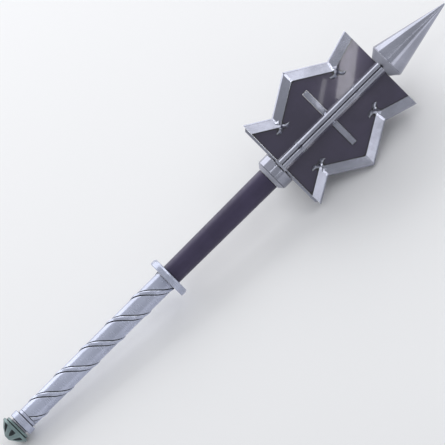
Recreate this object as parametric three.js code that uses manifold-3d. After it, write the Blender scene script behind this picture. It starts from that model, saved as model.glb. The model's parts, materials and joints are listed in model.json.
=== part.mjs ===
// A flanged ceremonial mace at rest on a level surface: +Z up, +X towards the point, millimetres.
// The origin is at the middle of its bounding box, on the surface that it lies on.
// Every piece is made in the mace's own frame: x runs along the axis from the pommel's end to the
// point, and a flange's plane holds x and the radius. The whole mace is then laid down by one group.
import * as THREE from "three";
import { ConvexGeometry } from "three/addons/geometries/ConvexGeometry.js";
import { mergeVertices } from "three/addons/utils/BufferGeometryUtils.js";
import Module from "manifold-3d";

const wasm = await Module();
wasm.setup();

const GAP = 0.3; // clearance between pieces that touch
const ROUND = 48; // sides of a turned piece
const FLANGES = 4;
const QUARTER = Math.PI / 2;

// Places along the axis where one piece ends and the next begins, from the pommel's end.
const STATION = {
  capGirdle: 15.1,
  ring: 19.9,
  neck: 24.7,
  band: 28.3,
  ferrule: 39.9,
  grip: 46.4,
  shaft: 336.5,
  guardLow: 336.7,
  guardHigh: 347.7,
  collar: 553.1,
  collarShoulder: 559.5,
  basePlate: 577.1,
  head: 581.1,
  spear: 789.5,
  spearShoulder: 803.4,
  point: 925,
};

// Radii of the turned pieces.
const RADIUS = {
  capTable: 4.5,
  capMiddle: 16.3,
  capGirdle: 23.4,
  capDisc: 24.2,
  ring: 20.7,
  neck: 14.5,
  band: 20.3,
  ferrule: 15.9,
  gripLow: 15.7,
  gripHigh: 17.1,
  shaftLow: 16.6,
  shaftHigh: 18.3,
  guard: 33.8,
  collarFoot: 20.3,
  collar: 27.8,
  spearFoot: 19,
  spear: 29.6,
  point: 1.2,
};
const EDGE = 0.8; // chamfer on the rings' edges

// The cap's dome: eight ribs with a V-shaped flute between each two.
const CAP = {
  sides: 8,
  middleAt: 7.5, // how far the middle row of corners lies from the cap's end
  fluteFrom: 3.2,
  fluteBottom: 19, // radius of a flute's bottom where it meets the disc
  fluteOpening: THREE.MathUtils.degToRad(34), // angle between a flute's two sides, at fluteReach
  fluteReach: 28,
};

// A flange's outline, as [along the axis, radius], from its bottom corner to its top corner.
const OUTLINE = [
  [STATION.head + GAP, 83.5],
  [619.5, 60.5],
  [679.7, 97.9],
  [738.4, 62.2],
  [STATION.spear, 77.2],
].map(([along, radius]) => new THREE.Vector2(along, radius));
const LOWER_NOTCH = 1;
const BULGE = 2;
const UPPER_NOTCH = 3;

const PLATE_THICKNESS = 8;
const PLATE_SEAT = 9; // from the flange's outline in to the plate's edge, inside the trim

const TRIM = {
  width: 16, // from the outline in, square to it
  innerHalf: 10.3, // half thickness at the inner side
  outerHalf: 7.5, // half thickness at the outer edge, before its chamfer
  chamfer: 1.2,
  grooveWidth: 1.6,
  grooveDepth: 2.5,
};

// The forks that the trim sends over the plate at its notches. Each is a neck that parts into two
// curled horns, in the fork's own frame: across it, and in from the notch.
const FORK = {
  halfThickness: 8.2,
  neckHalf: 4,
  neckFrom: 6,
  neckTo: 13.5,
  crotch: 18.2,
  hornTip: { across: 13.6, depth: 18.2 },
  bellyPull: { across: 8.5, depth: 27 }, // draws a horn's under side out into its belly
};
const FORK_CURVE_STEPS = 4;

// Where each fork's own frame lies, from its notch: along the axis, in towards it, and its lean.
const FORK_PLACE = {
  [LOWER_NOTCH]: { along: 1.7, inward: 3.5, lean: 0 },
  [UPPER_NOTCH]: { along: 5.2, inward: 7.5, lean: THREE.MathUtils.degToRad(-22) },
};

const CROSS_BAR = { at: 682, width: 9, half: 7.5, end: 53.4 };
const BASE_PLATE = { half: 10.3, lowEnd: 74.1, highEnd: 78.1 };

// The raised bands that are wound up the grip, spaced evenly round it. Their width is measured
// along the axis, and the first one crosses the middle of the front at frontAt.
const WRAP = { bands: 2, pitch: 108, width: 8.2, height: 1, frontAt: 310, frontAngle: 0.75 * Math.PI };
const WRAP_STEPS_PER_TURN = 32;

const STEEL = { color: 0x9396a4, roughness: 0.3, metalness: 1 };
const FINISH = {
  brightSteel: STEEL,
  silver: { color: 0xb4b7c8, roughness: 0.35, metalness: 1 },
  blackened: { color: 0x484356, roughness: 0.4, metalness: 0.8 },
  greyGreen: { color: 0x7d9092, roughness: 0.45, metalness: 0.8 },
};

// A mesh of one finish, under the name that its piece goes by.
function piece(name, finish, geometry) {
  const mesh = new THREE.Mesh(geometry, new THREE.MeshStandardMaterial(FINISH[finish]));
  mesh.name = name;
  return mesh;
}

// A closed geometry as a manifold-3d solid.
function solid(geometry) {
  const bare = geometry.index ? geometry.toNonIndexed() : geometry.clone();
  bare.deleteAttribute("normal");
  bare.deleteAttribute("uv");
  const merged = mergeVertices(bare, 1e-4);
  return new wasm.Manifold(
    new wasm.Mesh({
      numProp: 3,
      vertProperties: merged.attributes.position.array,
      triVerts: new Uint32Array(merged.index.array),
    }),
  );
}

// A manifold-3d solid as a geometry.
function geometryOf(made) {
  const { numProp, vertProperties, triVerts } = made.getMesh();
  const corners = new THREE.InterleavedBuffer(vertProperties, numProp);
  return new THREE.BufferGeometry()
    .setAttribute("position", new THREE.InterleavedBufferAttribute(corners, 3, 0))
    .setIndex(new THREE.BufferAttribute(triVerts, 1));
}

// A piece turned about the mace's axis from [along, radius] points, with its ends closed.
function turned(points) {
  const profile = points.map(([along, radius]) => new THREE.Vector2(radius, along));
  const start = new THREE.Vector2(0, profile[0].y);
  const end = new THREE.Vector2(0, profile.at(-1).y);
  return new THREE.LatheGeometry([start, ...profile, end], ROUND).rotateZ(-QUARTER);
}

// A plain ring or disc with both its edges chamfered.
function turnedDisc(from, to, radius) {
  return turned([
    [from, radius - EDGE],
    [from + EDGE, radius],
    [to - EDGE, radius],
    [to, radius - EDGE],
  ]);
}

// A flat plate of one outline, centred on the flange's plane.
function plate(corners, thickness) {
  const extrusion = { depth: thickness, bevelEnabled: false };
  const shape = new THREE.Shape(corners);
  return new THREE.ExtrudeGeometry(shape, extrusion).translate(0, 0, -thickness / 2);
}

// The unit vector that points from one run of the outline towards the axis.
function inwardNormal(run) {
  const along = OUTLINE[run + 1].clone().sub(OUTLINE[run]).normalize();
  return new THREE.Vector2(along.y, -along.x);
}

// The step in from one corner of the outline that keeps 1 mm from each run that meets there.
// The two end corners step along the flange's square-cut ends.
function mitre(corner) {
  if (corner === 0) return new THREE.Vector2(0, 1 / inwardNormal(0).y);
  const before = inwardNormal(corner - 1);
  if (corner === OUTLINE.length - 1) return new THREE.Vector2(0, 1 / before.y);
  const after = inwardNormal(corner);
  return before.clone().add(after).divideScalar(1 + before.dot(after));
}

// The outline moved in towards the axis, or out if the distance is below 0.
function insetOutline(distance) {
  return OUTLINE.map((corner, i) => corner.clone().addScaledVector(mitre(i), distance));
}

// One pair of opposite wings of the plate, grown by a clearance on every side but its ends.
function wingPair(grown) {
  const upper = insetOutline(PLATE_SEAT - grown);
  const lower = upper.map(({ x, y }) => new THREE.Vector2(x, -y)).reverse();
  return solid(plate([...upper, ...lower], PLATE_THICKNESS + 2 * grown));
}

// The bar that is let through each wing, or the slot for it when it is grown by a clearance.
function crossBar(grown) {
  const start = CROSS_BAR.half + 2 * GAP - grown;
  const length = CROSS_BAR.end + grown - start;
  const width = CROSS_BAR.width + 2 * grown;
  const bar = new THREE.BoxGeometry(width, length, 2 * CROSS_BAR.half);
  return bar.translate(CROSS_BAR.at, start + length / 2, 0);
}

// The head's dark body: four flanges of plate that meet at the axis.
function flangedHead() {
  let body = wingPair(0).add(wingPair(0).rotate([90, 0, 0]));
  const slot = solid(crossBar(GAP));
  for (let i = 0; i < FLANGES; i++) body = body.subtract(slot.rotate([90 * i, 0, 0]));
  return geometryOf(body);
}

// The corners of the trim's section where two of its runs meet.
function trimSection(corner) {
  const { width, innerHalf, outerHalf, chamfer } = TRIM;
  const rows = [
    [0, outerHalf - chamfer],
    [chamfer, outerHalf],
    [width, innerHalf],
  ];
  return rows.flatMap(([depth, half]) => {
    const { x, y } = OUTLINE[corner].clone().addScaledVector(mitre(corner), depth);
    return [new THREE.Vector3(x, y, half), new THREE.Vector3(x, y, -half)];
  });
}

// Half of a fork's outline, to the right or left of its middle, from the neck's root to the crotch.
function forkHalf(side) {
  const { neckHalf, neckFrom, neckTo, crotch, hornTip, bellyPull } = FORK;
  const half = new THREE.Path([new THREE.Vector2(side * neckHalf, neckFrom)]);
  half.lineTo(side * neckHalf, neckTo);
  half.quadraticCurveTo(side * neckHalf, hornTip.depth, side * hornTip.across, hornTip.depth);
  half.quadraticCurveTo(side * bellyPull.across, bellyPull.depth, 0, crotch);
  return half.getPoints(FORK_CURVE_STEPS);
}

// The fork at one notch.
function fork(corner) {
  const { along, inward, lean } = FORK_PLACE[corner];
  const left = forkHalf(-1);
  const right = forkHalf(1).slice(0, -1).reverse();
  return plate([...left, ...right], 2 * FORK.halfThickness)
    .rotateZ(Math.PI + lean)
    .translate(OUTLINE[corner].x + along, OUTLINE[corner].y - inward, 0);
}

// The bright mount on one flange's edge: mitred runs with bevelled faces, a forked finial at each
// notch, a groove along the outer edge, and a slot that takes the plate.
function edgeTrim() {
  const runs = OUTLINE.slice(1).map((_, i) =>
    solid(new ConvexGeometry([...trimSection(i), ...trimSection(i + 1)])),
  );
  const forks = [LOWER_NOTCH, UPPER_NOTCH].map((corner) => solid(fork(corner)));
  const whole = [...runs, ...forks].reduce((joined, next) => joined.add(next));
  const outside = insetOutline(-TRIM.chamfer);
  const bottom = insetOutline(TRIM.grooveDepth).reverse();
  const groove = plate([...outside, ...bottom], TRIM.grooveWidth);
  return whole.subtract(solid(groove)).subtract(wingPair(GAP));
}

// The bright cross under the head, as wide as the flanges are thick.
function basePlate() {
  const { half, lowEnd, highEnd } = BASE_PLATE;
  const low = STATION.basePlate;
  const high = STATION.head;
  const corners = [
    [low, -lowEnd],
    [high, -highEnd],
    [high, highEnd],
    [low, lowEnd],
  ].map(([along, radius]) => new THREE.Vector2(along, radius));
  const arms = solid(plate(corners, 2 * half));
  return geometryOf(arms.add(arms.rotate([90, 0, 0])));
}

// A place in the mace's own frame, from its place along the axis, its radius and its angle.
function round(along, radius, angle) {
  return new THREE.Vector3(along, radius * Math.cos(angle), radius * Math.sin(angle));
}

// The V-shaped flute that is cut into the cap's dome at angle 0.
function capFlute() {
  const { fluteFrom, middleAt, fluteBottom, fluteOpening, fluteReach } = CAP;
  const start = taper(fluteFrom, 0, middleAt, RADIUS.capTable, RADIUS.capMiddle);
  return new ConvexGeometry([
    round(fluteFrom, start, 0),
    round(STATION.capGirdle, fluteBottom, 0),
    round(STATION.capGirdle, fluteReach, fluteOpening / 2),
    round(STATION.capGirdle, fluteReach, -fluteOpening / 2),
  ]);
}

// The pommel's cap: a round disc under a fluted dome cut in flat facets, with a small flat end.
function pommelCap() {
  const { sides, middleAt } = CAP;
  const rows = [
    [0, RADIUS.capTable, sides, 0],
    [middleAt, RADIUS.capMiddle, sides, 0.5],
    [STATION.capGirdle, RADIUS.capGirdle, 2 * sides, 0],
  ];
  const corners = rows.flatMap(([along, radius, count, turn]) =>
    Array.from({ length: count }, (_, i) => round(along, radius, (2 * Math.PI * (i + turn)) / count)),
  );
  const flute = solid(capFlute());
  let dome = solid(new ConvexGeometry(corners));
  for (let i = 0; i < sides; i++) dome = dome.subtract(flute.rotate([(360 * i) / sides, 0, 0]));
  const disc = turned([
    [STATION.capGirdle, RADIUS.capDisc - EDGE],
    [STATION.capGirdle + EDGE, RADIUS.capDisc],
    [STATION.ring - GAP, RADIUS.capDisc],
  ]);
  return geometryOf(dome.add(solid(disc)));
}

// The guard: a disc with a bore that the shaft passes through.
function guard() {
  const disc = turnedDisc(STATION.guardLow, STATION.guardHigh, RADIUS.guard);
  const boreRadius = shaftRadius(STATION.guardHigh) + GAP;
  const bore = turned([
    [STATION.guardLow - 1, boreRadius],
    [STATION.guardHigh + 1, boreRadius],
  ]);
  return geometryOf(solid(disc).subtract(solid(bore)));
}

// The radius of a tapered piece at one place along it.
function taper(along, from, to, low, high) {
  return THREE.MathUtils.mapLinear(along, from, to, low, high);
}

function gripRadius(along) {
  return taper(along, STATION.grip, STATION.shaft, RADIUS.gripLow, RADIUS.gripHigh);
}

function shaftRadius(along) {
  return taper(along, STATION.shaft, STATION.collar, RADIUS.shaftLow, RADIUS.shaftHigh);
}

// One raised band: a long flat bar wound round the grip, and cut square at the grip's two ends.
function gripBand(index) {
  const { bands, pitch, width, height, frontAt, frontAngle } = WRAP;
  const turns = (STATION.shaft - STATION.grip) / pitch + 1;
  const steps = Math.ceil(turns * WRAP_STEPS_PER_TURN);
  const bar = new THREE.BoxGeometry(2 * Math.PI * turns, height, width, steps, 1, 1);
  const middle = (STATION.grip + STATION.shaft) / 2;
  const middleTurn = (2 * Math.PI * (middle - frontAt)) / pitch;
  const corners = bar.attributes.position;
  for (let i = 0; i < corners.count; i++) {
    const turn = middleTurn + corners.getX(i);
    const along = frontAt + (pitch * turn) / (2 * Math.PI) - corners.getZ(i);
    const out = gripRadius(along) + GAP + height / 2 + corners.getY(i);
    const angle = frontAngle + turn + (2 * Math.PI * index) / bands;
    corners.setXYZ(i, along, out * Math.cos(angle), out * Math.sin(angle));
  }
  const sleeve = turned([
    [STATION.grip + GAP, 2 * RADIUS.gripHigh],
    [STATION.shaft - GAP, 2 * RADIUS.gripHigh],
  ]);
  return geometryOf(solid(bar).intersect(solid(sleeve)));
}

// The pommel and handle, from the pommel's end to the head's collar.
function handle() {
  const group = new THREE.Group();
  const { ring, neck, band, ferrule, grip, shaft, collar } = STATION;
  group.add(
    piece("pommel_cap", "greyGreen", pommelCap()),
    piece("pommel_ring", "greyGreen", turnedDisc(ring, neck - GAP, RADIUS.ring)),
    piece("pommel_neck", "silver", turnedDisc(neck, band - GAP, RADIUS.neck)),
    piece("pommel_band", "silver", turnedDisc(band, ferrule - GAP, RADIUS.band)),
    piece("grip_ferrule", "silver", turnedDisc(ferrule, grip - GAP, RADIUS.ferrule)),
    piece("grip", "silver", turned([[grip, RADIUS.gripLow], [shaft - GAP, RADIUS.gripHigh]])),
    piece("grip_band_1", "silver", gripBand(0)),
    piece("grip_band_2", "silver", gripBand(1)),
    piece("guard", "silver", guard()),
    piece(
      "shaft",
      "blackened",
      turned([[shaft, RADIUS.shaftLow], [collar - GAP, RADIUS.shaftHigh]]),
    ),
  );
  return group;
}

// The flanges on their base plate, each with its trim and bar, and each at 45 degrees to the level.
function flanges() {
  const group = new THREE.Group();
  group.rotation.x = QUARTER / 2;
  group.add(
    piece("head_base_plate", "brightSteel", basePlate()),
    piece("flanged_head", "blackened", flangedHead()),
  );
  const trim = geometryOf(edgeTrim());
  const bar = crossBar(0);
  for (let i = 0; i < FLANGES; i++) {
    const flange = new THREE.Group();
    flange.rotation.x = QUARTER * i;
    flange.add(piece(`edge_trim_${i + 1}`, "brightSteel", trim));
    flange.add(piece(`cross_bar_${i + 1}`, "brightSteel", bar));
    group.add(flange);
  }
  return group;
}

// The head: the collar, the flanges and the spear point.
function head() {
  const group = new THREE.Group();
  group.add(
    piece(
      "head_collar",
      "brightSteel",
      turned([
        [STATION.collar, RADIUS.collarFoot],
        [STATION.collarShoulder, RADIUS.collar],
        [STATION.basePlate - GAP, RADIUS.collar],
      ]),
    ),
    piece(
      "spear_point",
      "brightSteel",
      turned([
        [STATION.spear + GAP, RADIUS.spearFoot],
        [STATION.spearShoulder, RADIUS.spear],
        [STATION.point, RADIUS.point],
      ]),
    ),
  );
  group.add(flanges());
  return group;
}

// The mace laid down on the tips of its two lower flanges and the rim of its pommel's disc.
function lyingMace() {
  const mace = new THREE.Group();
  mace.add(handle(), head());
  const tip = OUTLINE[BULGE];
  const tipDrop = (tip.y + TRIM.outerHalf - TRIM.chamfer) * Math.SQRT1_2;
  const rise = tipDrop - RADIUS.capDisc;
  mace.rotation.y = -Math.atan2(rise, tip.x - STATION.capGirdle);
  const laid = new THREE.Group();
  laid.add(mace);
  laid.updateMatrixWorld(true);
  const box = new THREE.Box3().setFromObject(laid, true);
  const centre = box.getCenter(new THREE.Vector3());
  mace.position.set(-centre.x, -centre.y, -box.min.z);
  return laid;
}

export default lyingMace();
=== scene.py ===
"""A flanged ceremonial mace lying on a pale studio floor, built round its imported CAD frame.

Each piece is modelled in the mace's own frame, in millimetres: x runs along the axis from the
pommel's end to the point, and angles turn about it from level (+y) to straight up (+z).
"""

import json
import math

import bmesh
import bpy
from mathutils import Matrix, Vector
from mathutils.geometry import delaunay_2d_cdt


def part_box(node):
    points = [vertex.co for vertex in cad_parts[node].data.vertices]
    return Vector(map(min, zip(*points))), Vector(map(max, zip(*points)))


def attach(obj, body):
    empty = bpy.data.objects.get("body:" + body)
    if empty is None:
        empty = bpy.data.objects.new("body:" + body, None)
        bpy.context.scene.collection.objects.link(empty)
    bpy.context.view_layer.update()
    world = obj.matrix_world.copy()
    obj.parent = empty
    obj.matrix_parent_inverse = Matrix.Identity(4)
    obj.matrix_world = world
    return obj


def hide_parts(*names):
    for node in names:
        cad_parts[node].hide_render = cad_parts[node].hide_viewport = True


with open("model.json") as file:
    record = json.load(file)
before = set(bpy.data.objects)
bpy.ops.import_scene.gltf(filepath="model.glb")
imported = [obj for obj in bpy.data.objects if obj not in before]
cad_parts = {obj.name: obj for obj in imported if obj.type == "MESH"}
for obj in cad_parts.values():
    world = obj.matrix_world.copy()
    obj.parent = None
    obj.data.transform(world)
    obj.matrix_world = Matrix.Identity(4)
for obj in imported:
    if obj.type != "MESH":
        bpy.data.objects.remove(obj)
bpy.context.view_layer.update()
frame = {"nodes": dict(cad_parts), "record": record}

MM = 0.001
QUARTER = math.pi / 2
WELD = 1e-4  # points closer than this become one, in millimetres

# ---- The mace's own frame, and the places of its pieces in it ----


def middle(node):
    low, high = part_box(node)
    return (low + high) / 2


def mace_frame():
    """The matrix from the mace's own frame, in metres, to the row's frame."""
    along = (middle("guard") - middle("pommel_band")).normalized()
    level = Vector((0, 1, 0))
    turn = Matrix((along, level, along.cross(level))).transposed()
    on_axis = middle("guard")
    ends = [(v.co - on_axis).dot(along) for v in frame["nodes"]["pommel_cap"].data.vertices]
    return Matrix.Translation(on_axis + along * min(ends)) @ turn.to_4x4()


MACE = mace_frame()


def extent(node):
    """Where a node starts and ends along the axis, and its greatest radius, in millimetres."""
    to_mace = MACE.inverted()
    points = [to_mace @ v.co / MM for v in frame["nodes"][node].data.vertices]
    places = [p.x for p in points]
    return min(places), max(places), max(math.hypot(p.y, p.z) for p in points)


def place(along, radius, angle):
    return Vector((along, radius * math.cos(angle), radius * math.sin(angle)))


FRONT = 0.75 * math.pi  # the angle of the side that faces up and to the front
SLOTS = {part["node"]: part["material_slot"] for part in frame["record"]["subparts"]}

# ---- The camera ----
# It looks square onto the axis along one flange, from up and in front, and is rolled so that the
# mace runs up the picture's diagonal.

PICTURE_WIDTH = 667.5
CAMERA_DISTANCE = 18000
PICTURE_TILT = math.radians(44.8)
PICTURE_CENTRE = (457.3, 1.6)  # the place at the picture's middle: along the axis, and beside it
SENSOR = 36
FARTHEST_SEEN = 100  # in metres


def make_camera():
    turn = MACE.to_3x3()
    to_camera = turn @ place(0, 1, FRONT)
    along = turn @ Vector((1, 0, 0))
    beside = turn @ place(0, 1, FRONT - QUARTER)
    right = along * math.cos(PICTURE_TILT) - beside * math.sin(PICTURE_TILT)
    up = along * math.sin(PICTURE_TILT) + beside * math.cos(PICTURE_TILT)
    target = MACE @ Vector((PICTURE_CENTRE[0] * MM, 0, 0)) + beside * PICTURE_CENTRE[1] * MM
    camera = bpy.data.objects.new("camera", bpy.data.cameras.new("camera"))
    camera.data.sensor_width = SENSOR
    camera.data.lens = SENSOR * CAMERA_DISTANCE / PICTURE_WIDTH
    camera.data.clip_end = FARTHEST_SEEN
    view = Matrix((right, up, to_camera)).transposed().to_4x4()
    camera.matrix_world = Matrix.Translation(target + to_camera * CAMERA_DISTANCE * MM) @ view
    bpy.context.scene.collection.objects.link(camera)
    bpy.context.scene.camera = camera


make_camera()

# ---- Shader nodes ----

# What every finish shares, in millimetres.
TARNISH_SIZE = 45  # features of the broad tarnish
CLOUD_SIZE = 9  # features of the uneven gloss, which also breaks up the worn edges
WORN_EDGE = 0.7  # how far wear reaches from an edge
SHADE_REACH = 6.0  # how near another face must be for shade to be painted into the colour
GRAIN_DEPTH = 0.05
DENT_DEPTH = 0.4


def shader_node(tree, kind, settings=None, inputs=None):
    """One shader node. An input has a name or number, and takes a value or a node's socket."""
    made = tree.nodes.new(kind)
    for name, value in (settings or {}).items():
        setattr(made, name, value)
    for name, value in (inputs or {}).items():
        if isinstance(value, bpy.types.NodeSocket):
            tree.links.new(value, made.inputs[name])
        else:
            made.inputs[name].default_value = value
    return made


def math_node(tree, operation, first, second, clamp=False):
    settings = {"operation": operation, "use_clamp": clamp}
    return shader_node(tree, "ShaderNodeMath", settings, {0: first, 1: second}).outputs[0]


def remap(tree, value, from_low, from_high, to_low, to_high):
    """A value carried smoothly from one range to another."""
    limits = {0: value, 1: from_low, 2: from_high, 3: to_low, 4: to_high}
    settings = {"interpolation_type": "SMOOTHSTEP"}
    return shader_node(tree, "ShaderNodeMapRange", settings, limits).outputs[0]


def mace_place(tree):
    """The place on the piece in the mace's own frame."""
    coordinates = shader_node(tree, "ShaderNodeTexCoord").outputs["Object"]
    back = MACE.inverted()
    inputs = {"Vector": coordinates, "Location": back.translation, "Rotation": back.to_euler()}
    return shader_node(tree, "ShaderNodeMapping", None, inputs).outputs[0]


def stretched(tree, where, stretch):
    inputs = {"Vector": where, "Scale": stretch}
    return shader_node(tree, "ShaderNodeMapping", None, inputs).outputs[0]


def noise(tree, where, size, detail=3, distortion=0):
    """Noise with features of about one size, in millimetres."""
    inputs = {"Vector": where, "Scale": 1 / (size * MM), "Detail": detail, "Distortion": distortion}
    return shader_node(tree, "ShaderNodeTexNoise", None, inputs).outputs[0]


def edge_wear(tree, radius, broken_by):
    """1 on a worn edge and 0 on a flat, broken up by a noise."""
    rounded = shader_node(tree, "ShaderNodeBevel", {"samples": 6}, {"Radius": radius * MM})
    geometry = shader_node(tree, "ShaderNodeNewGeometry")
    inputs = {0: rounded.outputs[0], 1: geometry.outputs["Normal"]}
    likeness = shader_node(tree, "ShaderNodeVectorMath", {"operation": "DOT_PRODUCT"}, inputs)
    edge = remap(tree, likeness.outputs["Value"], 0.8, 0.99, 1.0, 0.0)
    return math_node(tree, "MULTIPLY", edge, remap(tree, broken_by, 0.3, 0.6, 0.4, 1.0), True)


def painted_seam_shade(tree, reach):
    """Painted shade: 1 deep in a seam or corner, where other faces are near, and 0 in the open."""
    inputs = {"Distance": reach * MM}
    found = shader_node(tree, "ShaderNodeAmbientOcclusion", {"samples": 12}, inputs)
    return remap(tree, found.outputs["AO"], 0.48, 0.74, 1.0, 0.0)


def mixed(tree, share, first, second):
    """Two colours mixed by a share."""
    inputs = {0: share, 6: first, 7: second}
    return shader_node(tree, "ShaderNodeMix", {"data_type": "RGBA"}, inputs).outputs[2]


def metal(
    name,
    color,
    worn,
    roughness,
    grain,
    # the colour of the painted shade in seams and corners
    shade_color=(0.012, 0.012, 0.018),
    blotch=0.1,
    wear=1.0,
    # how strongly the painted shade in seams and corners is laid on
    shade_strength=1.0,
    metallic=0.8,
    coat=0,
):
    """A metal with broad tarnish, fine drawn grain, bright worn edges, and painted shade that
    darkens its seams and corners.

    grain is the size of the grain's features along x and across it, in millimetres.
    """
    material = bpy.data.materials.new(name)
    material.use_nodes = True
    tree = material.node_tree
    surface = tree.nodes["Principled BSDF"]
    where = mace_place(tree)
    broad = noise(tree, where, TARNISH_SIZE, 4, 0.6)
    cloudy = noise(tree, where, CLOUD_SIZE, 5)
    stretch = (1, grain[0] / grain[1], grain[0] / grain[1])
    fine = noise(tree, stretched(tree, where, stretch), grain[0], 2)

    dark = tuple(channel * (1 - blotch) for channel in color) + (1,)
    light = tuple(channel * (1 + blotch) for channel in color) + (1,)
    tone = remap(tree, broad, 0.3, 0.7, 0.0, 1.0)
    tone = math_node(tree, "ADD", tone, remap(tree, fine, 0.2, 0.8, -0.25, 0.25), True)
    base = mixed(tree, tone, dark, light)
    edges = math_node(tree, "MULTIPLY", edge_wear(tree, WORN_EDGE, cloudy), wear)
    base = mixed(tree, edges, base, worn + (1,))
    # Painted shade: the colour darkens towards the shade colour where ambient occlusion finds seams
    # and corners.
    painted_shade = math_node(tree, "MULTIPLY", painted_seam_shade(tree, SHADE_REACH), shade_strength)
    base = mixed(tree, painted_shade, base, shade_color + (1,))
    tree.links.new(base, surface.inputs["Base Color"])

    rough = remap(tree, cloudy, 0.25, 0.75, roughness * 0.82, roughness * 1.2)
    rough = math_node(tree, "ADD", rough, remap(tree, fine, 0.3, 0.7, -0.03, 0.03))
    tree.links.new(rough, surface.inputs["Roughness"])
    surface.inputs["Metallic"].default_value = metallic
    surface.inputs["Coat Weight"].default_value = coat
    surface.inputs["Coat Roughness"].default_value = 0.05

    inputs = {"Height": fine, "Strength": 0.12, "Distance": GRAIN_DEPTH * MM}
    drawn = shader_node(tree, "ShaderNodeBump", None, inputs).outputs[0]
    inputs = {"Height": broad, "Strength": 0.3, "Distance": DENT_DEPTH * MM, "Normal": drawn}
    dented = shader_node(tree, "ShaderNodeBump", None, inputs).outputs[0]
    tree.links.new(dented, surface.inputs["Normal"])
    return material


STEEL = {"color": (0.35, 0.36, 0.43), "worn": (0.78, 0.84, 0.88)}
SILVER = {"color": (0.49, 0.52, 0.65), "worn": (0.8, 0.84, 0.92), "grain": (0.5, 8)}
# The last colour here is the painted shade in the blackened steel's seams and corners.
BLACK = {"color": (0.045, 0.036, 0.078), "worn": (0.12, 0.11, 0.16), "shade_color": (0.006, 0.006, 0.01)}
BRONZE = {"worn": (0.36, 0.46, 0.45), "grain": (0.6, 6), "blotch": 0.25}
FINISHES = {
    "bright_steel": {**STEEL, "roughness": 0.13, "grain": (14, 0.5)},
    "silver_steel": {**SILVER, "roughness": 0.24, "metallic": 0.55},
    "blackened_steel": {
        **BLACK, "roughness": 0.2, "grain": (20, 0.6), "wear": 0.5, "metallic": 0.3, "coat": 1
    },
    "patinated_bronze": {
        **BRONZE, "color": (0.2, 0.27, 0.275), "roughness": 0.36, "metallic": 0.6
    },
    # Finishes of a part of a piece, or of one piece among several of its colour.
    "ground_steel": {
        "color": (0.4, 0.41, 0.48),
        "worn": (0.5, 0.52, 0.58),
        "roughness": 0.5,
        "grain": (0.5, 8),
        "metallic": 0.25,
    },
    # A lighter copy of the silver with no painted seam shade, for the sunken neck: painted light
    # where its recess would be in shade.
    "lightened_silver": {
        **SILVER, "color": (0.68, 0.7, 0.8), "roughness": 0.4, "metallic": 0.3, "shade_strength": 0
    },
    "satin_black": {**BLACK, "roughness": 0.42, "grain": (20, 0.6), "wear": 0.5, "metallic": 0.3},
    "dark_patina": {
        **BRONZE, "color": (0.028, 0.034, 0.04), "roughness": 0.45, "wear": 0.3, "metallic": 0.4
    },
}
MATERIALS = {name: metal(name, **finish) for name, finish in FINISHES.items()}
OWN_FINISH = {"pommel_neck": "lightened_silver", "shaft": "satin_black"}

# ---- Making a piece ----

# Edges that turn by less than this are shaded smooth: on most pieces, and on the faceted ones.
SMOOTH_BELOW = math.radians(35)
FACETED_BELOW = math.radians(3.5)
SHARP = math.radians(40)


def piece_from(mesh, node, smooth_below=SMOOTH_BELOW):
    """A finished piece that stands for one CAD node, from a mesh in millimetres."""
    mesh.transform(MACE @ Matrix.Scale(MM, 4))
    mesh.shade_smooth()
    mesh.set_sharp_from_angle(angle=smooth_below)
    mesh.materials.clear()
    mesh.materials.append(MATERIALS[OWN_FINISH.get(node, SLOTS[node])])
    piece = bpy.data.objects.new(node + "_finished", mesh)
    bpy.context.scene.collection.objects.link(piece)
    weighted = piece.modifiers.new("weighted_normals", "WEIGHTED_NORMAL")
    weighted.keep_sharp = True
    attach(piece, "root")
    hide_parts(node)
    return piece


def refinish(piece, finish, chosen):
    """Gives another finish to the faces whose middle, in the mace's own frame, is chosen."""
    piece.data.materials.append(MATERIALS[finish])
    to_mace = MACE.inverted()
    for face in piece.data.polygons:
        if chosen(to_mace @ face.center / MM):
            face.material_index = 1


def mesh_of(vertices, faces):
    """A closed mesh with its faces pointing out and its shared corners joined."""
    mesh = bpy.data.meshes.new("shape")
    mesh.from_pydata([tuple(v) for v in vertices], [], [tuple(f) for f in faces])
    shape = bmesh.new()
    shape.from_mesh(mesh)
    bmesh.ops.remove_doubles(shape, verts=shape.verts, dist=WELD)
    bmesh.ops.dissolve_degenerate(shape, edges=shape.edges, dist=WELD)
    bmesh.ops.recalc_face_normals(shape, faces=shape.faces)
    shape.to_mesh(mesh)
    shape.free()
    return mesh


def with_modifiers(mesh, add):
    """The mesh after modifiers, which add() puts on a passing object that holds it."""
    holder = bpy.data.objects.new("holder", mesh)
    bpy.context.scene.collection.objects.link(holder)
    add(holder)
    depsgraph = bpy.context.evaluated_depsgraph_get()
    result = bpy.data.meshes.new_from_object(holder.evaluated_get(depsgraph))
    bpy.data.objects.remove(holder)
    return result


def combined(mesh, operation, other):
    """Two closed meshes joined or cut."""
    tool = bpy.data.objects.new("tool", other)
    bpy.context.scene.collection.objects.link(tool)

    def add(holder):
        boolean = holder.modifiers.new("boolean", "BOOLEAN")
        boolean.operation = operation
        boolean.solver = "MANIFOLD"
        boolean.object = tool

    result = with_modifiers(mesh, add)
    bpy.data.objects.remove(tool)
    return result


def eased(mesh, width, steps=2, above=math.radians(20)):
    """The mesh with its sharp edges rounded off."""

    def add(holder):
        bevel = holder.modifiers.new("bevel", "BEVEL")
        bevel.width = width
        bevel.segments = steps
        bevel.limit_method = "ANGLE"
        bevel.angle_limit = above

    return with_modifiers(mesh, add)


def merged(meshes):
    """Several meshes as one, not joined at their faces."""
    shape = bmesh.new()
    for mesh in meshes:
        shape.from_mesh(mesh)
    result = bpy.data.meshes.new("merged")
    shape.to_mesh(result)
    shape.free()
    return result


# ---- Turned pieces ----

SIDES = 144
CORE = 0.5  # radius of the small disc that closes a turned piece's end


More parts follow.
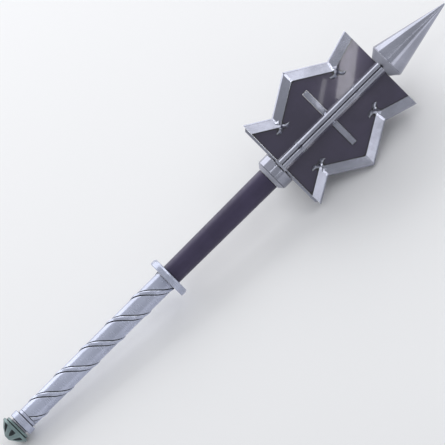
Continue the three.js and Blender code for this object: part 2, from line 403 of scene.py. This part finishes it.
def filleted(corners, radius, closed=False, steps=4):
    """An outline with each of its corners rounded off by a short curve."""
    points = [Vector(corner) for corner in corners]
    outline = []
    for i, corner in enumerate(points):
        if not closed and i in (0, len(points) - 1):
            outline.append(corner)
            continue
        before = points[i - 1] - corner
        after = points[(i + 1) % len(points)] - corner
        reach = min(radius, before.length * 0.45, after.length * 0.45)
        start = corner + before.normalized() * reach
        end = corner + after.normalized() * reach
        for step in range(steps + 1):
            t = step / steps
            outline.append(start * (1 - t) ** 2 + corner * 2 * t * (1 - t) + end * t**2)
    return outline


def turned(profile, bored=False):
    """A mesh turned about the axis from (along, radius) points, with ends closed or a bore."""
    rows = len(profile)
    angles = [2 * math.pi * k / SIDES for k in range(SIDES)]
    vertices = [place(along, radius, angle) for along, radius in profile for angle in angles]
    faces = []
    for row in range(rows if bored else rows - 1):
        low = row * SIDES
        high = (row + 1) % rows * SIDES
        for k in range(SIDES):
            beside = (k + 1) % SIDES
            faces.append((low + k, low + beside, high + beside, high + k))
    if not bored:
        faces.append(range(SIDES))
        faces.append(range((rows - 1) * SIDES, rows * SIDES))
    return mesh_of(vertices, faces)


def capped(start, corners, end, fillet, end_core=CORE):
    """A profile through filleted corners, run in to the axis at both ends."""
    return [Vector((start, CORE)), *filleted(corners, fillet), Vector((end, end_core))]


RING_EDGE = 0.9
RING_FILLET = 0.5


def make_ring(node):
    """A plain ring or disc with its edges chamfered and eased."""
    start, end, radius = extent(node)
    corners = [
        (start, radius - RING_EDGE),
        (start + RING_EDGE, radius),
        (end - RING_EDGE, radius),
        (end, radius - RING_EDGE),
    ]
    piece_from(turned(capped(start, corners, end, RING_FILLET)), node)


for node in ("pommel_ring", "pommel_neck", "pommel_band", "grip_ferrule"):
    make_ring(node)

GUARD_BEVEL = {"long": 3.2, "deep": 1.4}  # on the guard's head side
GUARD_FILLET = 0.4
BORE_INSIDE = 1.2  # how much smaller than the shaft's greatest radius the guard's bore is


def make_guard():
    start, end, radius = extent("guard")
    bore = extent("shaft")[2] - BORE_INSIDE
    corners = [
        (start, bore),
        (start, radius - RING_EDGE),
        (start + RING_EDGE, radius),
        (end - GUARD_BEVEL["long"], radius),
        (end - RING_EDGE / 2, radius - GUARD_BEVEL["deep"]),
        (end, radius - GUARD_BEVEL["deep"] - RING_EDGE / 2),
        (end, bore),
    ]
    piece_from(turned(filleted(corners, GUARD_FILLET, closed=True), bored=True), "guard")


make_guard()


def end_radii(node, near=0.05):
    """A tapered node's radius at its low end and at its high end."""
    to_mace = MACE.inverted()
    points = [to_mace @ v.co / MM for v in frame["nodes"][node].data.vertices]
    start, end, _ = extent(node)
    radii = []
    for where in (start, end):
        radii.append(max(math.hypot(p.y, p.z) for p in points if abs(p.x - where) < near))
    return radii


SHAFT = {"edge": 0.5, "fillet": 0.3}


def make_shaft():
    start, end, _ = extent("shaft")
    low, high = end_radii("shaft")
    edge = SHAFT["edge"]
    corners = [(start, low - edge), (start + edge, low), (end - edge, high), (end, high - edge)]
    piece_from(turned(capped(start, corners, end, SHAFT["fillet"])), "shaft")


make_shaft()

# The collar and the spear point: a conical foot, a fine groove, and the cylinder or cone above it.
GROOVE = {"half": 0.55, "depth": 0.7}
COLLAR = {
    "foot_length": 6.4,
    "foot_rise": 7.5,
    "foot_slope": 1.1,  # at the groove
    "foot_edge": 0.4,
    "foot_swell": 0.1,
    "rim": 0.7,
    "fillet": 0.35,
}
SPEAR = {
    "foot_length": 13.6,
    "foot_rise": 10.6,
    "foot_slope": 0.8,
    "foot_edge": 0.6,
    "fillet": 0.5,
    "tip_share": 0.4,  # the tip's radius, of the node's own
    "tip_core": 0.05,
}


def make_collar():
    start, end, radius = extent("head_collar")
    foot = end_radii("head_collar")[0]
    shoulder = start + (radius - foot) * COLLAR["foot_length"] / COLLAR["foot_rise"]
    half, depth = GROOVE["half"], GROOVE["depth"]
    corners = [
        (start, foot - COLLAR["foot_edge"]),
        (start + COLLAR["foot_edge"], foot + COLLAR["foot_swell"]),
        (shoulder - half, radius - half * COLLAR["foot_slope"]),
        (shoulder, radius - depth - half),
        (shoulder + half, radius),
        (end - COLLAR["rim"], radius),
        (end, radius - COLLAR["rim"]),
    ]
    piece = piece_from(turned(capped(start, corners, end, COLLAR["fillet"])), "head_collar")
    refinish(piece, "ground_steel", lambda point: point.x < shoulder - half)


make_collar()


def make_spear():
    start, end, radius = extent("spear_point")
    foot, tip = end_radii("spear_point")
    shoulder = start + (radius - foot) * SPEAR["foot_length"] / SPEAR["foot_rise"]
    half, depth = GROOVE["half"], GROOVE["depth"]
    slope = (radius - tip) / (end - shoulder)
    corners = [
        (start, foot - SPEAR["foot_edge"]),
        (start + SPEAR["foot_edge"], foot),
        (shoulder - half, radius - half * SPEAR["foot_slope"]),
        (shoulder, radius - depth),
        (shoulder + half, radius - half * slope),
        (end - tip, tip * (1 + slope)),
        (end, tip * SPEAR["tip_share"]),
    ]
    profile = capped(start, corners, end, SPEAR["fillet"], SPEAR["tip_core"])
    piece = piece_from(turned(profile), "spear_point")
    refinish(piece, "ground_steel", lambda point: point.x < shoulder - half)


make_spear()

# ---- The pommel's cap ----

CAP = {
    "sides": 8,
    "middle_at": 7.5,  # from the cap's end to the dome's middle row of corners
    "flute_from": 3.2,
    "flute_bottom": 19,  # radius of a flute's bottom where it meets the disc
    "flute_half_opening": math.radians(17),
    "flute_reach": 28,
    "disc": 4.5,
    "sunk": 1,  # how far the dome runs down into the disc
    "edge": 0.35,
    "patina_from": 0.3,  # depth below the dome's facets at which the dark patina starts
}
DOME_RADII = (4.5, 16.3, 23.4)  # of its three rows of corners, from the end


def hull(points):
    """The convex mesh round some points."""
    shape = bmesh.new()
    for point in points:
        shape.verts.new(point)
    made = bmesh.ops.convex_hull(shape, input=shape.verts)
    bmesh.ops.delete(shape, geom=made["geom_interior"] + made["geom_unused"], context="VERTS")
    bmesh.ops.recalc_face_normals(shape, faces=shape.faces)
    mesh = bpy.data.meshes.new("hull")
    shape.to_mesh(mesh)
    shape.free()
    return mesh


def cap_dome(start, girdle):
    """The dome's facets: three rows of corners, the middle one turned by half a side."""
    table, waist, rim = DOME_RADII
    side = 2 * math.pi / CAP["sides"]
    points = []
    for i in range(CAP["sides"]):
        points.append(place(start, table, i * side))
        points.append(place(start + CAP["middle_at"], waist, (i + 0.5) * side))
        for along in (girdle, girdle + CAP["sunk"]):
            points.append(place(along, rim, i * side))
            points.append(place(along, rim, (i + 0.5) * side))
    return hull(points)


def cap_flute(start, girdle, angle):
    """The V-shaped flute between two ribs, cut a little way past the girdle."""
    table, waist, _ = DOME_RADII
    share = CAP["flute_from"] / CAP["middle_at"]
    top = place(start + CAP["flute_from"], table + (waist - table) * share, angle)
    foot = place(girdle, CAP["flute_bottom"], angle)
    corners = [top, foot, foot + (foot - top).normalized() * CAP["sunk"]]
    for turn in (-CAP["flute_half_opening"], CAP["flute_half_opening"]):
        for along in (girdle, girdle + CAP["sunk"]):
            corners.append(place(along, CAP["flute_reach"], angle + turn))
    return hull(corners)


def depth_below(skin, point):
    """How far a point lies inside a convex mesh."""
    return min((face.center - point).dot(face.normal) for face in skin.polygons)


def make_cap():
    start, end, radius = extent("pommel_cap")
    girdle = end - CAP["disc"]
    angles = [2 * math.pi * i / CAP["sides"] for i in range(CAP["sides"])]
    flutes = merged([cap_flute(start, girdle, angle) for angle in angles])
    dome = eased(combined(cap_dome(start, girdle), "DIFFERENCE", flutes), CAP["edge"])
    corners = [
        (girdle, radius - RING_EDGE),
        (girdle + RING_EDGE, radius),
        (end - RING_EDGE / 2, radius),
        (end, radius - RING_EDGE / 2),
    ]
    disc = turned(capped(girdle, corners, end, RING_FILLET))
    piece = piece_from(combined(dome, "UNION", disc), "pommel_cap", FACETED_BELOW)
    skin = cap_dome(start, girdle)

    def in_flute(point):
        return point.x < girdle and depth_below(skin, point) > CAP["patina_from"]

    refinish(piece, "dark_patina", in_flute)


make_cap()

# ---- The grip and the two bands that are wound up it ----
# A place on the grip is given by a band's turn and by how far it is along the axis from the
# band's middle.

WRAP = {"bands": 2, "pitch": 108, "front_at": 310}
WRAP_STEPS = 96  # steps in one turn
STRIP_WELD = 1e-3  # points of two strips closer than this become one, in millimetres
GRIP_START, GRIP_END, _ = extent("grip")
GRIP_RADII = end_radii("grip")

# Heights over the grip's plain taper: a slope and a groove below the band, a groove above it.
GRIP_RELIEF = [(-10, 0), (-8, -0.2), (-6.9, -0.4), (-6.5, -1.6), (-4.6, -1.6), (-4.2, -0.2)]
GRIP_RELIEF += [(4.2, -0.2), (4.5, -1.6), (6.2, -1.6), (6.6, -0.1), (7.4, 0)]
# A band's section: it rises slowly to a rounded crest and falls more steeply to its upper edge.
BAND_CREST = [(-4.1, 0.3), (-2, 0.7), (0.2, 1.25), (1, 1.25), (3.7, 0.3), (4.1, 0.1)]
BAND_UNDERSIDE = 0.08
BAND_FILLET = 0.7
PLAIN = (-18, 16)  # before and after these the grip keeps its plain taper


def grip_radius(along):
    share = (along - GRIP_START) / (GRIP_END - GRIP_START)
    return GRIP_RADII[0] + (GRIP_RADII[1] - GRIP_RADII[0]) * share


def wound(section, closed, band):
    """Rows of points that follow one band, from (offset along the axis, height) points."""
    pitch, front_at = WRAP["pitch"], WRAP["front_at"]
    first = math.floor((GRIP_START - front_at) / pitch) - 1
    last = math.ceil((GRIP_END - front_at) / pitch) + 1
    start_angle = FRONT + 2 * math.pi * band / WRAP["bands"]
    count = len(section)
    vertices = []
    faces = []
    for step in range((last - first) * WRAP_STEPS + 1):
        turns = first + step / WRAP_STEPS
        for offset, height in section:
            along = front_at + pitch * turns + offset
            angle = start_angle + 2 * math.pi * turns
            vertices.append(place(along, grip_radius(along) + height, angle))
        if step:
            row = step * count
            for k in range(count if closed else count - 1):
                beside = (k + 1) % count
                faces.append((row - count + k, row - count + beside, row + beside, row + k))
    return vertices, faces


def cut_square(strips, start, end):
    """Wound strips joined at their sides and cut off at two places, with the cuts closed."""
    shape = bmesh.new()
    for vertices, faces in strips:
        made = [shape.verts.new(v) for v in vertices]
        for face in faces:
            shape.faces.new([made[k] for k in face])
    bmesh.ops.remove_doubles(shape, verts=shape.verts, dist=STRIP_WELD)
    for along, side in ((start, -1), (end, 1)):
        geometry = shape.verts[:] + shape.edges[:] + shape.faces[:]
        plane = {"plane_co": (along, 0, 0), "plane_no": (side, 0, 0)}
        bmesh.ops.bisect_plane(shape, geom=geometry, clear_outer=True, **plane)
    bmesh.ops.remove_doubles(shape, verts=shape.verts, dist=STRIP_WELD)
    bmesh.ops.edgenet_fill(shape, edges=[edge for edge in shape.edges if edge.is_boundary])
    bmesh.ops.recalc_face_normals(shape, faces=shape.faces)
    mesh = bpy.data.meshes.new("cut")
    shape.to_mesh(mesh)
    shape.free()
    return mesh


def make_grip():
    edge = WRAP["pitch"] / WRAP["bands"] / 2  # where one band's strip meets the next one's
    relief = [(-edge, 0), (PLAIN[0], 0), *GRIP_RELIEF, (PLAIN[1], 0), (edge, 0)]
    strips = [wound(relief, False, band) for band in range(WRAP["bands"])]
    piece_from(cut_square(strips, GRIP_START, GRIP_END), "grip")


def make_bands():
    crest = [tuple(point) for point in filleted(BAND_CREST, BAND_FILLET)]
    low, high = BAND_CREST[0][0], BAND_CREST[-1][0]
    section = [(low, BAND_UNDERSIDE), *crest, (high, BAND_UNDERSIDE)]
    for band in range(WRAP["bands"]):
        node = f"grip_band_{band + 1}"
        start, end, _ = extent(node)
        piece_from(cut_square([wound(section, True, band)], start, end), node)


make_grip()
make_bands()

# ---- The head ----
# Each flange's parts are made in its own plane, as (along the axis, radius, out of the plane).

FLANGES = [math.radians(45 + 90 * k) for k in range(4)]
# The flange's outer edge, as (along the axis, radius), from the collar's end to the point's.
OUTLINE = [
    Vector(corner)
    for corner in ((581.4, 83.5), (619.5, 60.5), (679.7, 97.9), (738.4, 62.2), (789.5, 77.2))
]
LAST = len(OUTLINE) - 1


def on_flange(along, radius, out, angle):
    turned_to = Matrix.Rotation(angle, 3, "X")
    return turned_to @ Vector((along, radius, out))


def run_direction(run):
    return (OUTLINE[run + 1] - OUTLINE[run]).normalized()


def inset(corner, depth):
    """A corner of the outline moved in. The end corners stay on the flange's square-cut ends."""
    before = run_direction(max(corner - 1, 0))
    after = run_direction(min(corner, LAST - 1))
    before_in = Vector((before.y, -before.x))
    after_in = Vector((after.y, -after.x))
    if corner in (0, LAST):
        return OUTLINE[corner] + Vector((0, depth / before_in.y))
    return OUTLINE[corner] + (before_in + after_in) * depth / (1 + before_in.dot(after_in))


def lofted(rows):
    """A closed mesh through rows of as many points each."""
    count = len(rows[0])
    vertices = [point for row in rows for point in row]
    shape = bmesh.new()
    made = [shape.verts.new(v) for v in vertices]
    for row in range(len(rows) - 1):
        for k in range(count):
            beside = (k + 1) % count
            corners = (row * count + k, row * count + beside)
            corners += ((row + 1) * count + beside, (row + 1) * count + k)
            shape.faces.new([made[c] for c in corners])
    for end in (made[:count], made[-count:]):
        shape.faces.new(end)
    bmesh.ops.remove_doubles(shape, verts=shape.verts, dist=WELD)
    bmesh.ops.recalc_face_normals(shape, faces=shape.faces)
    mesh = bpy.data.meshes.new("lofted")
    shape.to_mesh(mesh)
    shape.free()
    return mesh


def cross_row(along, reach, half, fillet, steps=5):
    """The section of four arms about the axis, with the corners between them filleted."""
    row = []
    for angle in FLANGES:
        row.append(on_flange(along, reach, -half, angle))
        row.append(on_flange(along, reach, half, angle))
        start = Vector((half + fillet, half))
        corner = Vector((half, half))
        end = Vector((half, half + fillet))
        for step in range(steps + 1):
            t = step / steps
            radius, out = start * (1 - t) ** 2 + corner * 2 * t * (1 - t) + end * t**2
            row.append(on_flange(along, radius, out, angle))
    return row


def block(start, end, low, high, half, angle):
    """A box on one flange."""
    corners = [
        on_flange(along, radius, out, angle)
        for along in (start, end)
        for radius in (low, high)
        for out in (-half, half)
    ]
    return hull(corners)


PLATE = {"half": 4, "seat": 9, "fillet": 3, "edge": 0.35}  # seat: depth in from the outline
BAR = {"at": 682, "width": 9, "half": 7.5, "low": 8.1, "high": 53.4, "edge": 1.1}
CLEARANCE = 0.3


def make_body():
    corners = [inset(corner, PLATE["seat"]) for corner in range(LAST + 1)]
    rows = [cross_row(*corner, PLATE["half"], PLATE["fillet"]) for corner in corners]
    slots = merged(
        [
            block(
                BAR["at"] - BAR["width"] / 2 - CLEARANCE,
                BAR["at"] + BAR["width"] / 2 + CLEARANCE,
                BAR["low"] - CLEARANCE,
                BAR["high"] + CLEARANCE,
                BAR["half"] + CLEARANCE,
                angle,
            )
            for angle in FLANGES
        ]
    )
    body = combined(lofted(rows), "DIFFERENCE", slots)
    piece_from(eased(body, PLATE["edge"], above=SHARP), "flanged_head")


make_body()


def make_bars():
    start, end = BAR["at"] - BAR["width"] / 2, BAR["at"] + BAR["width"] / 2
    for k, angle in enumerate(FLANGES):
        bar = block(start, end, BAR["low"], BAR["high"], BAR["half"], angle)
        piece_from(eased(bar, BAR["edge"], 3), f"cross_bar_{k + 1}")


make_bars()

# The base plate's low and high faces, as (along the axis, reach of the arms), and half an arm's
# width.
BASE_PLATE = {"low": (577.1, 74.1), "high": (581.1, 78.1), "half": 10.3, "fillet": 2, "edge": 0.6}


def make_base_plate():
    half, fillet = BASE_PLATE["half"], BASE_PLATE["fillet"]
    rows = [cross_row(*BASE_PLATE[end], half, fillet) for end in ("low", "high")]
    piece_from(eased(lofted(rows), BASE_PLATE["edge"], above=SHARP), "head_base_plate")


make_base_plate()

# The trim's section, as (depth in from the outline, half thickness), on one side of its middle.
TRIM = {
    "lip": [(2.6, 0.8), (1.2, 0.8), (0, 2.2)],  # the groove along the outer edge
    "face": [(0, 5.4), (2.1, 7.6), (16, 10.3)],
    "slot": [(16, 4.3), (8.7, 4.3)],
    "edge_fillet": 0.35,
}
MITRE_FACET = {"half": 1.9, "from_depth": 2.1}  # the narrow facet at each mitre


def trim_section():
    """The whole section round, from one side of the groove's bottom to the other."""
    side = [Vector(p) for p in (*TRIM["lip"], *TRIM["face"], *TRIM["slot"])]
    side = filleted(side, TRIM["edge_fillet"], steps=2)
    other = [Vector((depth, -half)) for depth, half in reversed(side)]
    return [*side, *other]


def trim_rows(angle):
    """The section at each end, and twice at each corner, where a narrow facet lies between."""
    rows = []
    for corner in range(LAST + 1):
        for side in (-1, 1) if 0 < corner < LAST else (0,):
            direction = run_direction(corner - 1 if side < 0 else min(corner, LAST - 1))
            row = []
            for depth, half in trim_section():
                spread = MITRE_FACET["half"] * min(1, depth / MITRE_FACET["from_depth"])
                along, radius = inset(corner, depth) + direction * side * spread
                row.append(on_flange(along, radius, half, angle))
            rows.append(row)
    return rows


# A fork at a notch: a neck that parts into two curled horns, in its own frame of (across, depth).
FORK = {
    "neck_half": 4,
    "neck_from": 6,
    "neck_to": 13.5,
    "crotch": 18.2,
    "horn_tip": (13.6, 18.2),
    "belly_pull": (8.5, 27),
    "underside": 4.2,
    "root_height": 10.1,
    "tip_height": 7.1,
    "doming": 0.4,  # rise for each millimetre in from the fork's edge
}
FORK_PLACES = [  # the outline's corner, the step from it along and in, and the lean
    (OUTLINE[1], (1.7, 3.5), 0),
    (OUTLINE[3], (5.2, 7.5), math.radians(-22)),
]
FORK_GRAIN = 0.8  # spacing of the points on a fork's face


def curve(start, pull, end, steps=10):
    """Points on a quadratic curve, without its first."""
    start, pull, end = Vector(start), Vector(pull), Vector(end)
    shares = [(step + 1) / steps for step in range(steps)]
    return [start * (1 - t) ** 2 + pull * 2 * t * (1 - t) + end * t**2 for t in shares]


def fork_outline():
    """The fork's outline: one half from the neck's root to the crotch, and the other back."""
    neck, tip = FORK["neck_half"], FORK["horn_tip"]
    neck_end, crotch = (neck, FORK["neck_to"]), (0, FORK["crotch"])
    half = [Vector((neck, FORK["neck_from"])), Vector(neck_end)]
    half += curve(neck_end, (neck, tip[1]), tip)
    half += curve(tip, FORK["belly_pull"], crotch)
    return half + [Vector((-p.x, p.y)) for p in reversed(half[:-1])]


def edge_distance(point, outline):
    """How far a point is from an outline, and whether it is inside."""
    nearest = math.inf
    inside = False
    for i, end in enumerate(outline):
        start = outline[i - 1]
        run = end - start
        share = max(0, min(1, (point - start).dot(run) / run.length_squared))
        nearest = min(nearest, (point - start - run * share).length)
        if (start.y > point.y) != (end.y > point.y):
            inside ^= point.x < start.x + run.x * (point.y - start.y) / run.y
    return nearest, inside


def fork_height(point, outline):
    """The fork's face: level with the trim at its root, falling to its horns, and domed."""
    share = (point.y - FORK["neck_from"]) / (FORK["horn_tip"][1] - FORK["neck_from"])
    fall = (FORK["root_height"] - FORK["tip_height"]) * max(0, min(1, share))
    return FORK["root_height"] - fall + FORK["doming"] * edge_distance(point, outline)[0]


def fork_face(outline):
    """The fork's outline filled with triangles: its points and faces."""
    across = max(p.x for p in outline)
    depths = [p.y for p in outline]
    inner = []
    for i in range(int(-across / FORK_GRAIN), int(across / FORK_GRAIN) + 1):
        for j in range(int(min(depths) / FORK_GRAIN), int(max(depths) / FORK_GRAIN) + 1):
            point = Vector((i, j)) * FORK_GRAIN
            nearest, inside = edge_distance(point, outline)
            if inside and nearest > FORK_GRAIN / 2:
                inner.append(point)
    count = len(outline)
    edges = [(i, (i + 1) % count) for i in range(count)]
    filled = delaunay_2d_cdt(outline + inner, edges, [], 1, 1e-5)
    return filled[0], filled[2]


def fork_mesh(corner, step, lean, side, angle):
    """One fork on one face of a flange."""
    outline = fork_outline()
    points, faces = fork_face(outline)
    turn = Matrix.Rotation(math.pi + lean, 2)
    origin = corner + Vector((step[0], -step[1]))
    layers = []
    for heights in ([FORK["underside"]] * len(points), [fork_height(p, outline) for p in points]):
        for point, height in zip(points, heights):
            layers.append(on_flange(*(origin + turn @ point), side * height, angle))
    count = len(points)
    all_faces = [tuple(face) for face in faces]
    all_faces += [tuple(k + count for k in reversed(face)) for face in faces]
    directed = {(f[k - 1], f[k]) for f in faces for k in range(len(f))}
    for start, end in directed:
        if (end, start) not in directed:
            all_faces.append((end, start, start + count, end + count))
    return mesh_of(layers, all_faces)


def make_trims():
    for k, angle in enumerate(FLANGES):
        forks = merged([fork_mesh(*spot, side, angle) for spot in FORK_PLACES for side in (-1, 1)])
        trim = combined(lofted(trim_rows(angle)), "UNION", forks)
        piece_from(trim, f"edge_trim_{k + 1}", FACETED_BELOW)


make_trims()

# ---- The floor, the studio and the light ----


FLOOR_REACH = 40  # in metres


def make_floor():
    mesh = bpy.data.meshes.new("floor")
    reach = FLOOR_REACH
    corners = [(-reach, -reach, 0), (reach, -reach, 0), (reach, reach, 0), (-reach, reach, 0)]
    mesh.from_pydata(corners, [], [(0, 1, 2, 3)])
    floor = bpy.data.objects.new("floor", mesh)
    material = bpy.data.materials.new("floor")
    material.use_nodes = True
    surface = material.node_tree.nodes["Principled BSDF"]
    surface.inputs["Base Color"].default_value = (0.86, 0.86, 0.87, 1)
    surface.inputs["Roughness"].default_value = 0.7
    mesh.materials.append(material)
    bpy.context.scene.collection.objects.link(floor)


make_floor()


# Directions from the mace: over turns from the camera's side over the top to the back, and aside
# leans towards the point, both in degrees. Places are (along the axis, beside it) as the camera
# sees them, sizes are (along, across), all in millimetres.


def from_mace(over, aside):
    across = place(0, 1, FRONT - math.radians(over))
    lean = math.radians(aside)
    return MACE.to_3x3() @ (across * math.cos(lean) + Vector((1, 0, 0)) * math.sin(lean))


def softbox(name, at, over, aside, distance, size, radiance, roll=0):
    """A soft panel light that faces one place on the mace and that the camera doesn't see."""
    beside = MACE.to_3x3() @ place(0, 1, FRONT - QUARTER)
    target = MACE @ Vector((at[0] * MM, 0, 0)) + beside * at[1] * MM
    direction = from_mace(over, aside)
    light = bpy.data.lights.new(name, "AREA")
    light.shape = "RECTANGLE"
    light.size, light.size_y = size[0] * MM, size[1] * MM
    light.energy = radiance * math.pi * light.size * light.size_y
    side = MACE.to_3x3() @ Vector((1, 0, 0))
    side = (side - direction * side.dot(direction)).normalized()
    turn = Matrix((side, direction.cross(side), direction)).transposed()
    turn = turn @ Matrix.Rotation(math.radians(roll), 3, "Z")
    lamp = bpy.data.objects.new(name, light)
    lamp.matrix_world = Matrix.Translation(target + direction * distance * MM) @ turn.to_4x4()
    lamp.visible_camera = False
    bpy.context.scene.collection.objects.link(lamp)


softbox("ceiling", (250, 0), 62, 0, 2500, (3200, 3100), 0.12)
softbox("back", (650, 0), 107, 0, 3000, (4800, 2800), 1.6)
softbox("point_end", (462, 0), 40, 46, 3000, (700, 3400), 2.4)
softbox("pommel_end", (462, 0), 40, -52, 3000, (700, 5500), 0.5)
softbox("spear_strip", (860, 0), -43, 26, 1500, (450, 620), 0.9)
softbox("upper_wing", (682, 80), 19, 11, 2000, (260, 340), 1.5)
softbox("lower_wing", (682, -80), -19, 11, 2000, (260, 340), 1.2)
# Small ones that each catch one mitre's facet.
softbox("upper_bulge", (680, 87), 19, 0, 3600, (100, 390), 6)
softbox("upper_notch", (737, 50), 20, 2.6, 2400, (80, 260), 6)
softbox("low_notch", (610, -55), -19, 0, 600, (24, 70), 6)
softbox("lower_notch", (737, -50), -20, 2.6, 2400, (80, 260), 6)
# Long ones close to the upper wing, for the streaks on its plate.
softbox("wide_gloss", (757, 34.5), 0, 0, 250, (96, 24), 4, roll=37.5)
softbox("narrow_gloss", (702, 34), 0, 0, 250, (48, 7), 2.1, roll=35)


def make_world():
    world = bpy.data.worlds.new("studio")
    world.use_nodes = True
    background = world.node_tree.nodes["Background"]
    background.inputs["Color"].default_value = (0.95, 0.97, 1, 1)
    background.inputs["Strength"].default_value = 0.54
    bpy.context.scene.world = world


make_world()
bpy.context.scene.view_settings.view_transform = "Standard"
